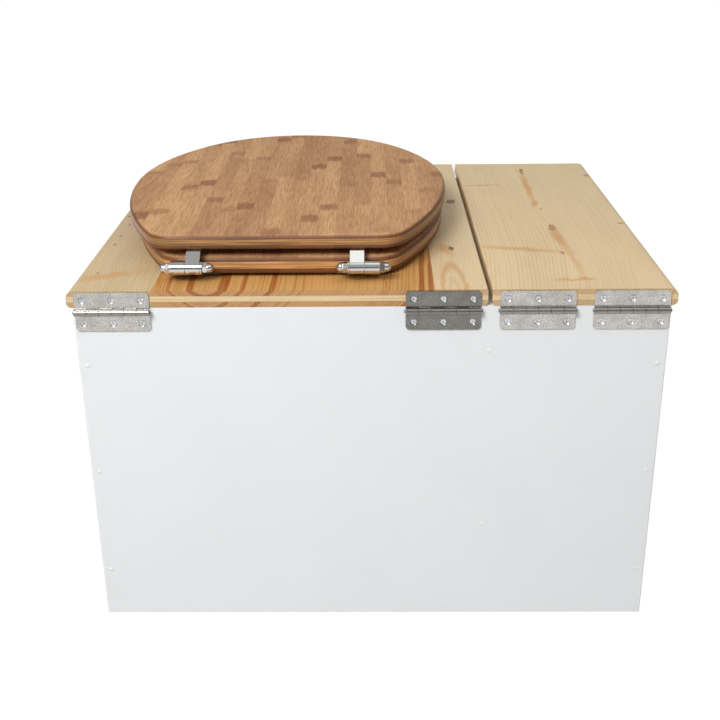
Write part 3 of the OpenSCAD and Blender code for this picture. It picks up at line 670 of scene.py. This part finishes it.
def growth_rings(place, deep, heart):
    """How far across the rings a place lies: its distance from the heart line, fanned, drifting and rippled.

    Under the surface the distance is sqrt(off^2 + curve * depth) + depth, so the rings dip towards their heart.
    """
    curve = 12
    fan_rear, fan_x, fan_length, fan_share = 229, 60, 90, -0.036
    x, y, _ = place.parts()
    off = x - heart
    reach = off.times_plus(off, deep * curve).math("SQRT") + deep
    across = reach.times_plus(off.math("SIGN"), heart)
    fan = (fan_rear - y).span(0, fan_length, 0, fan_share)
    fan = (across - fan_x).times_plus(fan, across)
    across = place.noise((0.008, 0.0045, 0), 1).to(-4.5, 4.5) + fan
    return place.noise((0.05, 0.02, 0), 2).to(-1.4, 1.4) + across


def shade_marks(place, across, marks):
    """Shades of the marks with their colours, and the rings as they swirl round them."""
    wobble = place.noise(0.08, 2)["Color"]
    bent = wobble.vector("MULTIPLY_ADD", (7, 14, 0), place).vector("SUBTRACT", (3.5, 7, 0))
    shades = []
    for mark in marks:
        ellipse = {
            "Vector": bent,
            "Location": (mark.x, mark.y, 0),
            "Rotation": (0, 0, math.radians(mark.turn)),
            "Scale": (mark.half_x, mark.half_y, 1e6),
        }
        far = add(place.tree, "Mapping", ellipse, vector_type="TEXTURE").vector("LENGTH")["Value"]
        if mark.soft < 0:
            shade = abs(far - 1).span(-mark.soft, 0, 0, mark.strength, "SMOOTHSTEP")
        else:
            shade = far.span(1 + mark.soft, 1 - mark.soft, 0, mark.strength, "SMOOTHSTEP")
        shades.append((shade, mark.colour))
        if mark.swirl:
            across = across + far.span(5, 0, 0, mark.swirl, "SMOOTHERSTEP")
    return shades, across


def spruce_board(lid, wood):
    """Three-ply spruce board under a satin lacquer, of glued boards side by side and with marks."""
    # Sawn softwood: pale earlywood fades to dark latewood and starts again sharply, ring after ring. The outer plies
    # run front to back and the middle one from side to side, so each shows end grain on two edges.
    new = Finish(lid.material, Coat_Weight=wood.lacquer, Coat_Roughness=0.16, IOR=1.5)
    place, facing = new.place, new.facing()
    x, _, z = place.parts()
    deep = (LID_TOP / MM - z).larger(0)
    shades, across = shade_marks(place, growth_rings(place, deep, lid.heart), lid.marks)

    boards, (left, right) = lid.boards, (corner[0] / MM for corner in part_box(lid.node))
    along = x.span(left, right)
    starts = [0] + [(board.end - left) / (right - left) for board in boards[:-1]]
    kinds = {False: (wood.early, wood.late), True: (wood.striped_early, wood.striped_late)}
    width = along.steps(starts, [board.ring * 0.1 for board in boards]) * 10
    strong = along.steps(starts, [board.strength for board in boards])
    early, late = (along.steps(starts, [rgba(kinds[board.striped][i], board.gain) for board in boards]) for i in (0, 1))
    ring = across / width
    chance = ring.floor().chance()
    dark = ring.fraction().ramp([(0, 0.05), (0.45, 0.12), (0.75, 0.55), (0.9, 1), (1, 0.05)])
    shown = dark * chance.to(0.25, 1) * strong
    if lid.bands:
        striped = along.steps(starts, [float(board.striped) for board in boards])
        streak = place.noise((0.55, 0.012, 0.3))
        cover = dark_bands(across + streak.to(-1.5, 1.5), lid.bands)
        shown = shown.larger(cover * striped * streak.span(0.35, 0.6, 0.7, 1))

    end = facing[1].span(0.6, 0.95)
    new.colour = mix(end * place.noise(1.1, 2).span(0.3, 0.7, 0.35, 0.8), early, wood.end)
    new.over(shown, late)
    fibre = place.noise((1.3, 0.035, 1.3))
    for shade, stain in shades:
        new.over(shade * fibre.span(0.25, 0.6, 0.7, 1), stain or wood.knot)

    ply = (LID_TOP - LID_LOW) / MM / 3
    thread = place.noise((0.012, 0.6, 0.9))
    core = mix(thread.span(0.35, 0.7, 0, 0.6), wood.core, rgba(wood.late, 1.12))
    core = mix(facing[0].span(0.6, 0.95, 0, 0.7), core, wood.end)
    new.over(deep.math("GREATER_THAN", ply) * deep.math("LESS_THAN", 2 * ply), core)
    glue = deep.math("PINGPONG", ply).span(0.08, 0.3, 0.45, 0) * abs(deep - 1.5 * ply).math("LESS_THAN", ply)
    new.over(glue, wood.knot)
    new.over((new.arris() * end).to(0, 0.45), wood.core)

    lighter = fibre.span(0.25, 0.75, 0.94, 1.05) * place.noise((0.02, 0.006, 0.02)).span(0.3, 0.7, 0.95, 1.04)
    new.lighten(lighter * new.arris().to(1, 1.05))
    return new.done(fibre.span(0.2, 0.8, 0.38, 0.52), fibre + shown * -0.6, 0.05)


def bamboo_board(part, seat, painted_light_gain):
    """Bamboo board of three crossed layers under a satin lacquer, the middle one lighter or darker by the last factor
    as painted light.
    """
    # Strips split from the culm and laid flat: each has its own tone, fine dark vessels along it, and a darker bar
    # where the culm had a node. The middle layer runs across, so the rear edge shows its long grain.
    core_at, core_half = 0.52, 0.22
    new = Finish("lacquered_bamboo_" + part, Coat_Weight=0.1, Coat_Roughness=0.2, IOR=1.5, Specular_IOR_Level=0.35)
    place, facing = new.place, new.facing()
    x, y, z = place.parts()
    spacing = seat.spacing / MM
    sideways = (x + place.noise(0.02, 2).to(-0.8, 0.8)) * (MM / seat.strip)
    index = sideways.floor()
    lengthways = y.times_plus(1 / spacing, index.chance() * 13)
    piece = lengthways.math("ROUND")
    ragged = place.noise((0.3, 0.05, 0.3)).to(-11, 11)
    some = index.chance(piece)
    from_node = abs((lengthways - piece).times_plus(spacing, ragged)) / some.to(7, 15)
    bar = from_node.span(1.15, 0.55, kind="SMOOTHSTEP") * some.span(0.25, 0.9, 0.2, 0.75)

    tone = index.chance(lengthways.floor(), 3)
    soft_tone = place.noise((0.05, 0.008, 0.05)).span(0.3, 0.7, 0, 0.4)
    new.colour = mix(tone.times_plus(0.7, soft_tone), seat.brown, seat.pale)
    vessels = place.noise((0.95, 0.045, 0.95), Roughness=0.6)
    new.over(vessels.span(0.42, 0.68, 0, 0.6), seat.node)
    pith = place.noise((0.6, 0.03, 0.6), 2, (40, 9, 3))
    new.over(pith.span(0.5, 0.75, 0, 0.4), seat.pale, 1.2)
    new.over(bar, seat.node)
    seam = abs(sideways.fraction() - 0.5).span(0.475, 0.5, 0, 0.25)
    new.over(seam, seat.node, 0.8)
    end = facing[2].span(0.93, 0.6) * place.noise(1.3, 2).span(0.3, 0.7, 0.75, 1)
    new.over(end, mix(tone, rgba(seat.end, 0.5), seat.end))

    level = z.span(*(corner[2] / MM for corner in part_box("seat_" + part)))
    middle = level.math("GREATER_THAN", core_at - core_half) * level.math("LESS_THAN", core_at + core_half)
    # Painted light: the gain makes the middle layer's edge a lit copy on the ring and a dimmer one on the cover. Its
    # pale streaks are partly long grain and partly painted highlights on the lacquer.
    streak = place.noise((0.018, 0.018, 0.8)).span(0.3, 0.62)
    core = mix(streak, rgba(seat.edge, 1.5 * painted_light_gain), rgba(seat.edge, 0.62 * painted_light_gain))
    core = mix(facing[0].span(0.5, 0.95, 0, 0.6), core, rgba(seat.brown, 0.8))
    new.over(middle, core)
    joint = abs(abs(level - core_at) - core_half).span(0.006, 0.03, 0.6, 0)
    new.over(joint, seat.node, 0.55)
    new.lighten(new.arris().to(1, 0.9))
    return new.done(vessels.span(0.2, 0.8, 0.4, 0.55), vessels * -1, 0.06)


def plated_steel(name, colour, roughness, mottle, depth, knuckle_shade=1):
    """Stamped steel with a satin zinc or nickel plating, its knuckles darkened by the last factor as painted shade."""
    # Barrel-plated sheet keeps the crystals of the zinc: grains of under 1 mm that differ in shade and gloss, drawn
    # as coarse as they need to show. The slow darker clouds over them are painted reflection, the mottled sheen a flat
    # leaf mirrors, and the knuckles are darkened as painted shade for their dark reflection.
    new = Finish(name, Metallic=1)
    place = new.place
    crystals = place.noise(1.1, 4, Roughness=0.6)
    new.colour = mix(crystals.span(0.32, 0.68), rgba(colour, 1 - mottle), rgba(colour, 1 + mottle * 0.6))
    # Painted reflection: slow clouds darken the plating, standing in for the mottled sheen that a flat leaf mirrors.
    new.over(place.noise(0.09).span(0.38, 0.68, 0, 0.5), colour, 0.55)
    new.over(new.arris().to(0, 0.2), colour, 1.25)
    # Painted shade: the knuckles are darkened to stand in for the dark reflection that a bright round barrel shows.
    if knuckle_shade < 1:
        painted_knuckle_shade = place.parts()[1].span(REAR_Y / MM + 1.6, REAR_Y / MM + 2.3, 0, 0.9)
        new.over(painted_knuckle_shade, colour, knuckle_shade)
    rough = crystals.span(0.25, 0.75, roughness * 0.75, roughness * 1.25)
    return new.done(rough, crystals, depth)


def chrome_plate(metal):
    """Polished chrome plating on die-cast zinc."""
    # Bright chrome is nearly a mirror: faint waves from the casting, and hairline polishing marks along the barrels.
    new = Finish("polished_chrome_plate", Metallic=1)
    cloud = new.place.noise(0.15, 2)
    new.colour = mix(cloud, rgba(metal.chrome, 0.93), rgba(metal.chrome, 1.03))
    rough = new.place.noise((0.15, 3, 3), 2).span(0.3, 0.7, 0.07, 0.15)
    return new.done(rough, cloud, 0.03)


def moulded(name, colour, roughness, grain, depth):
    """Moulded plastic or rubber with a fine eroded texture."""
    # The mould's spark-eroded face gives an even matt grain, and handling leaves slightly glossier patches.
    new = Finish(name, IOR=1.49)
    fine, cloud = new.place.noise(grain), new.place.noise(0.02)
    new.colour = mix(cloud, rgba(colour, 0.94), rgba(colour, 1.03))
    new.over((new.arris() * fine).span(0.35, 0.8, 0, 0.3), colour, 0.8)
    return new.done(cloud.span(0.3, 0.7, roughness - 0.08, roughness + 0.08), fine, depth)


# ---- Operators ----


class TOILET_OT_box(bpy.types.Operator):
    """Paint the six panels of the box and the heads of the panel screws"""

    bl_idname = "toilet.paint_box"
    bl_label = "Paint the box"

    def execute(self, context):
        panels = [side + "_panel" for side in ("floor", "back", "front", "toilet_side", "litter_side", "divider")]
        dress(panels + ["wall_screws"], acrylic_paint(context.scene.toilet_paint))
        return {"FINISHED"}


class TOILET_OT_lids(bpy.types.Operator):
    """Give the seat board and the litter lid their spruce grain and lacquer"""

    bl_idname = "toilet.finish_lids"
    bl_label = "Finish the lids"

    def execute(self, context):
        for lid in LIDS:
            dress([lid.node], spruce_board(lid, context.scene.toilet_lids))
        return {"FINISHED"}


class TOILET_OT_seat(bpy.types.Operator):
    """Make the seat ring and its cover, with their bamboo strips and lacquer"""

    bl_idname = "toilet.make_seat"
    bl_label = "Make the seat"

    def execute(self, context):
        seat = context.scene.toilet_seat
        low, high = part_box("seat_cover")
        half, widest, length = (high[0] - low[0]) / 2, high[1] - seat.rear, high[1] - low[1]
        outline = (half, length - seat.rear, seat.rear, seat.nose_radius, seat.rear_radius, seat.corner_radius)
        rows = rounded_rows(seat_outline(*outline, 0, (0, 0)), "seat_cover", seat, 1)
        flat, shares = [1, 1, 0], np.array([0, 0.3, 0.6, 0.85])[:, None, None]
        top = rows[0] * flat * shares + [0, 0, high[2]]
        bottom = rows[-1] * flat * shares[::-1] + [0, 0, low[2]]
        self.make_plate(seat, "cover", widest, closed_grid(top, rows, bottom), 0.9)

        low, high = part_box("seat_ring")
        centre = (0, middle("bucket")[1] - widest)
        inset = half - (high[0] - low[0]) / 2
        outer = rounded_rows(seat_outline(*outline, inset, centre), "seat_ring", seat, 1)
        opening = oval_outline(88 * MM, 112 * MM, 142 * MM)
        inner = rounded_rows(opening, "seat_ring", seat, -1)[::-1] + [0, centre[1], 0]
        # The ring's middle layer gets the lighter copy, as painted light on its edge in the shade under the cover.
        self.make_plate(seat, "ring", widest, closed_grid(outer, inner, outer[:1]), 1.35)
        return {"FINISHED"}

    def make_plate(self, seat, part, widest, shape, painted_light_gain):
        """Puts a plate's shape at its place and finishes it."""
        node = "seat_" + part
        points = shape[0] + [middle(node)[0], widest, 0]
        wood = bamboo_board(part, seat, painted_light_gain)
        new_piece(node + "_plate", (points, shape[1]), wood, node, node)


class TOILET_OT_butt_hinges(bpy.types.Operator):
    """Plate the leaves and the pins of the four butt hinges"""

    bl_idname = "toilet.finish_butt_hinges"
    bl_label = "Finish the butt hinges"

    def execute(self, context):
        metal = context.scene.toilet_metal
        # The second hinge's leaves get a darker copy of the plating as painted dark reflection, because that hinge
        # stands a little turned and mirrors something dark. The pins get the same colour as painted shade.
        bright = plated_steel("satin_zinc_plate", metal.leaf, 0.3, 0.6, 0.03, 0.42)
        darkened = plated_steel("zinc_plate_painted_dark_reflection", metal.plating_painted_dark, 0.28, 0.5, 0.03, 0.9)
        lids = ["seat_board_leaf_1", "litter_lid_leaf_1", "litter_lid_leaf_2"]
        dress(["fixed_leaf_1", "fixed_leaf_3", "fixed_leaf_4"] + lids, bright)
        dress(["fixed_leaf_2", "seat_board_leaf_2"], darkened)
        dress(["hinge_pins"], plated_steel("steel_pin_painted_dark", metal.plating_painted_dark, 0.3, 0.3, 0.02))
        return {"FINISHED"}


class TOILET_OT_leaf_screws(bpy.types.Operator):
    """Make the cross-recess wood screws of the butt hinges, twelve in the box and six in each lid"""

    bl_idname = "toilet.make_leaf_screws"
    bl_label = "Make the hinge screws"

    def execute(self, context):
        apart, from_pin, leaf_face = 29.5 * MM, 12.5 * MM, 0.7 * MM
        zinc = plated_steel("bright_zinc_screw", context.scene.toilet_metal.screw, 0.24, 0.12, 0.01)
        screw = wood_screw(head_r=2.8 * MM, shank_r=1.75 * MM, length=15.1 * MM)
        for leaf, body, count, side in (
            ("fixed_leaf_", "box", 4, -1),
            ("seat_board_leaf_", "seat_board", 2, 1),
            ("litter_lid_leaf_", "litter_lid", 2, 1),
        ):
            node = leaf + "screws"
            middles = [middle(leaf + str(i + 1))[0] for i in range(count)]
            y, z = REAR_Y + leaf_face, PIN_Z + side * from_pin
            places = [(x + step * apart, y, z, 1) for x in middles for step in (-1, 0, 1)]
            turns = [2.4 * i + 0.3 * side for i in range(len(places))]
            new_piece("cross_" + node, many(screw, places, turns, "Y"), zinc, body, node)
        return {"FINISHED"}


class TOILET_OT_seat_hinges(bpy.types.Operator):
    """Plate the seat hinges, and make their cap nuts and the threaded bolts through the seat board"""

    bl_idname = "toilet.finish_seat_hinges"
    bl_label = "Finish the seat hinges"

    def execute(self, context):
        metal = context.scene.toilet_metal
        chrome = chrome_plate(metal)
        zinc = plated_steel("bright_zinc_fastener", metal.screw, 0.26, 0.12, 0.01)
        dress([part + side for part in ("seat_post_", "ring_ear_", "cover_strap_") for side in "12"], chrome)
        dress(["seat_axles", "ring_ear_screws", "cover_strap_screws", "wing_nuts"], zinc)
        dress(["post_washers"], moulded("matt_nylon", linear("#DEDDD6"), 0.6, 0.8, 0.02))

        nut = 11.2 * MM
        across = cad_points("acorn_nuts")[:, 0] - SEAT_X
        places = []
        for away in (1, -1):
            reach = across[across * away > 0] * away
            places.append((SEAT_X + away * (reach.max() - nut), AXLE_Y, AXLE_Z, away))
            places.append((SEAT_X + away * (reach.min() + nut), AXLE_Y, AXLE_Z, -away))
        nuts = many(acorn_nut(flats=10 * MM, hexagon=4.6 * MM, length=nut), places, [0.2, 0.55, 0.8, 0.1], "X")
        new_piece("cap_nuts", nuts, chrome, "seat_board", "acorn_nuts")

        low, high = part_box("post_bolts")
        bolt = socket_bolt(head_r=4.48 * MM, bolt_r=2.5 * MM, length=high[2] - low[2] - 0.02 * MM)
        y, z = (low[1] + high[1]) / 2, high[2] - 0.01 * MM
        places = [(middle(post)[0], y, z, 1) for post in ("seat_post_1", "seat_post_2")]
        bolts = many(bolt, places, [0.2, 0.7], "Z")
        new_piece("socket_bolts", bolts, zinc, "seat_board", "post_bolts")
        return {"FINISHED"}


class TOILET_OT_bumpers(bpy.types.Operator):
    """Make the rubber bumpers under the seat ring and under its cover"""

    bl_idname = "toilet.make_bumpers"
    bl_label = "Make the bumpers"

    def execute(self, context):
        rubber = moulded("matt_moulded_rubber", context.scene.toilet_bucket.rubber, 0.62, 0.7, 0.03)
        for node, body in (("ring_bumpers", "seat_ring"), ("cover_bumpers", "seat_cover")):
            low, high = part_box(node)
            points = cad_points(node)
            side = np.sign(points[:, :2] - (SEAT_X, middle(node)[1]))
            places = []
            for corner in ((-1, -1), (-1, 1), (1, -1), (1, 1)):
                near = points[(side == corner).all(axis=1)]
                x, y, _ = (near.min(axis=0) + near.max(axis=0)) / 2
                places.append((x, y, low[2], 1))
            bumpers = many(bumper(radius=10 * MM, height=high[2] - low[2]), places, [0] * 4, "Z")
            new_piece("moulded_" + node, bumpers, rubber, body, node)
        return {"FINISHED"}


class TOILET_OT_bucket(bpy.types.Operator):
    """Give the bucket its moulded polypropylene"""

    bl_idname = "toilet.finish_bucket"
    bl_label = "Finish the bucket"

    def execute(self, context):
        dress(["bucket"], moulded("satin_polypropylene", context.scene.toilet_bucket.plastic, 0.42, 0.6, 0.03))
        return {"FINISHED"}


class TOILET_OT_stage(bpy.types.Operator):
    """Set up the floor, the lamps, the world and the camera"""

    bl_idname = "toilet.set_stage"
    bl_label = "Set the stage"

    def execute(self, context):
        scene = context.scene
        scene.view_settings.view_transform = "Standard"
        stage = scene.toilet_stage
        self.make_floor()
        self.make_world(scene)
        for name, place, target, size, power in (
            ("key_lamp", (1.1, 1.95, 2.35), (0.05, 0.2, 0.3), 1.1, stage.key),
            ("fill_lamp", (-0.7, -2.4, 0.6), (0, -0.2, 0.2), 1.2, stage.fill),
            ("top_lamp", (-0.5, 0.6, 2.4), (0, 0.1, 0.4), 1.3, stage.top),
        ):
            data = bpy.data.lights.new(name, "AREA")
            data.shape, data.size, data.energy = "SQUARE", size, power
            lamp = put(name, data)
            lamp.location = place
            way = np.subtract(target, place)
            lamp.rotation_euler = (math.atan2(math.hypot(way[0], way[1]), -way[2]), 0, math.atan2(-way[0], way[1]))
            lamp.visible_camera = False
            lamp.visible_glossy = name != "fill_lamp"
        data = bpy.data.cameras.new("camera")
        data.lens, data.sensor_width = stage.lens, 36
        data.shift_x, data.shift_y = -0.00069, -0.14267
        data.clip_start, data.clip_end = 0.05, 100
        camera = scene.camera = put("camera", data)
        camera.location = (-0.00237, 1.15262, 0.7678)
        camera.rotation_euler = [math.radians(angle) for angle in (69.6619, 0.5557, -179.4367)]
        return {"FINISHED"}

    def make_floor(self):
        """Matt paper just under the object, which glows for the rays that see it and so stays white."""
        reach, under = 40, -0.4 * MM
        corners = [(x * reach, y * reach, under) for x, y in ((-1, -1), (1, -1), (1, 1), (-1, 1))]
        mesh = bpy.data.meshes.new("floor")
        mesh.from_pydata(corners, [], [(0, 1, 2, 3)])
        put("floor", mesh)
        paper = bpy.data.materials.new("white_background_paper")
        paper.use_nodes = True
        tree = paper.node_tree
        ray = add(tree, "LightPath")
        seen = ray["Is Camera Ray"].larger(ray["Is Glossy Ray"]).larger(ray["Is Transmission Ray"])
        matt = add(tree, "BsdfDiffuse", {"Color": rgba(linear("#B4B4B4"))})
        glow = add(tree, "Emission", {"Color": WHITE, "Strength": 1.2})
        fill(tree.nodes["Material Output"], {0: add(tree, "MixShader", {0: seen * 0.8, 1: matt, 2: glow})})
        mesh.materials.append(paper)

    def make_world(self, scene):
        """White all round for the rays that see it, and a sky that is brighter overhead for those that light."""
        world = scene.world = bpy.data.worlds.new("studio_white")
        world.use_nodes = True
        tree = world.node_tree
        ray = add(tree, "LightPath")
        seen = ray["Is Camera Ray"].larger(ray["Is Transmission Ray"])
        height = add(tree, "TexCoord")["Generated"].parts()[2]
        dome = height.span(0.02, 0.75, scene.toilet_stage.horizon, scene.toilet_stage.sky, "SMOOTHSTEP")
        fill(tree.nodes["Background"], {"Color": WHITE, "Strength": add(tree, "Mix", {0: seen, 2: dome, 3: 1})})


class TOILET_PT_finish(bpy.types.Panel):
    """Sidebar panel with the finishes and their settings."""

    bl_label = "Box toilet"
    bl_idname = "TOILET_PT_finish"
    bl_space_type = "VIEW_3D"
    bl_region_type = "UI"
    bl_category = "Toilet"

    def draw(self, context):
        for group, (_, *operators) in STEPS.items():
            box = self.layout.box()
            for operator in operators:
                box.operator(operator.bl_idname)
            settings = getattr(context.scene, group)
            for name in type(settings).__annotations__:
                box.prop(settings, name)


# Each group of settings with its class and the operators that read it.
STEPS = {
    "toilet_stage": (StageSettings, TOILET_OT_stage),
    "toilet_paint": (PaintSettings, TOILET_OT_box),
    "toilet_lids": (LidSettings, TOILET_OT_lids),
    "toilet_seat": (SeatSettings, TOILET_OT_seat),
    "toilet_metal": (MetalSettings, TOILET_OT_butt_hinges, TOILET_OT_leaf_screws, TOILET_OT_seat_hinges),
    "toilet_bucket": (BucketSettings, TOILET_OT_bumpers, TOILET_OT_bucket),
}
OPERATORS = [operator for _, *operators in STEPS.values() for operator in operators]


def register():
    for name, (group, *_) in STEPS.items():
        bpy.utils.register_class(group)
        setattr(bpy.types.Scene, name, bpy.props.PointerProperty(type=group))
    for item in OPERATORS + [TOILET_PT_finish]:
        bpy.utils.register_class(item)


def unregister():
    for item in [TOILET_PT_finish] + OPERATORS[::-1]:
        bpy.utils.unregister_class(item)
    for name, (group, *_) in STEPS.items():
        delattr(bpy.types.Scene, name)
        bpy.utils.unregister_class(group)


def main():
    """Makes every piece and finish in order."""
    register()
    for operator in OPERATORS:
        family, name = operator.bl_idname.split(".")
        getattr(getattr(bpy.ops, family), name)()


if __name__ == "__main__":
    main()
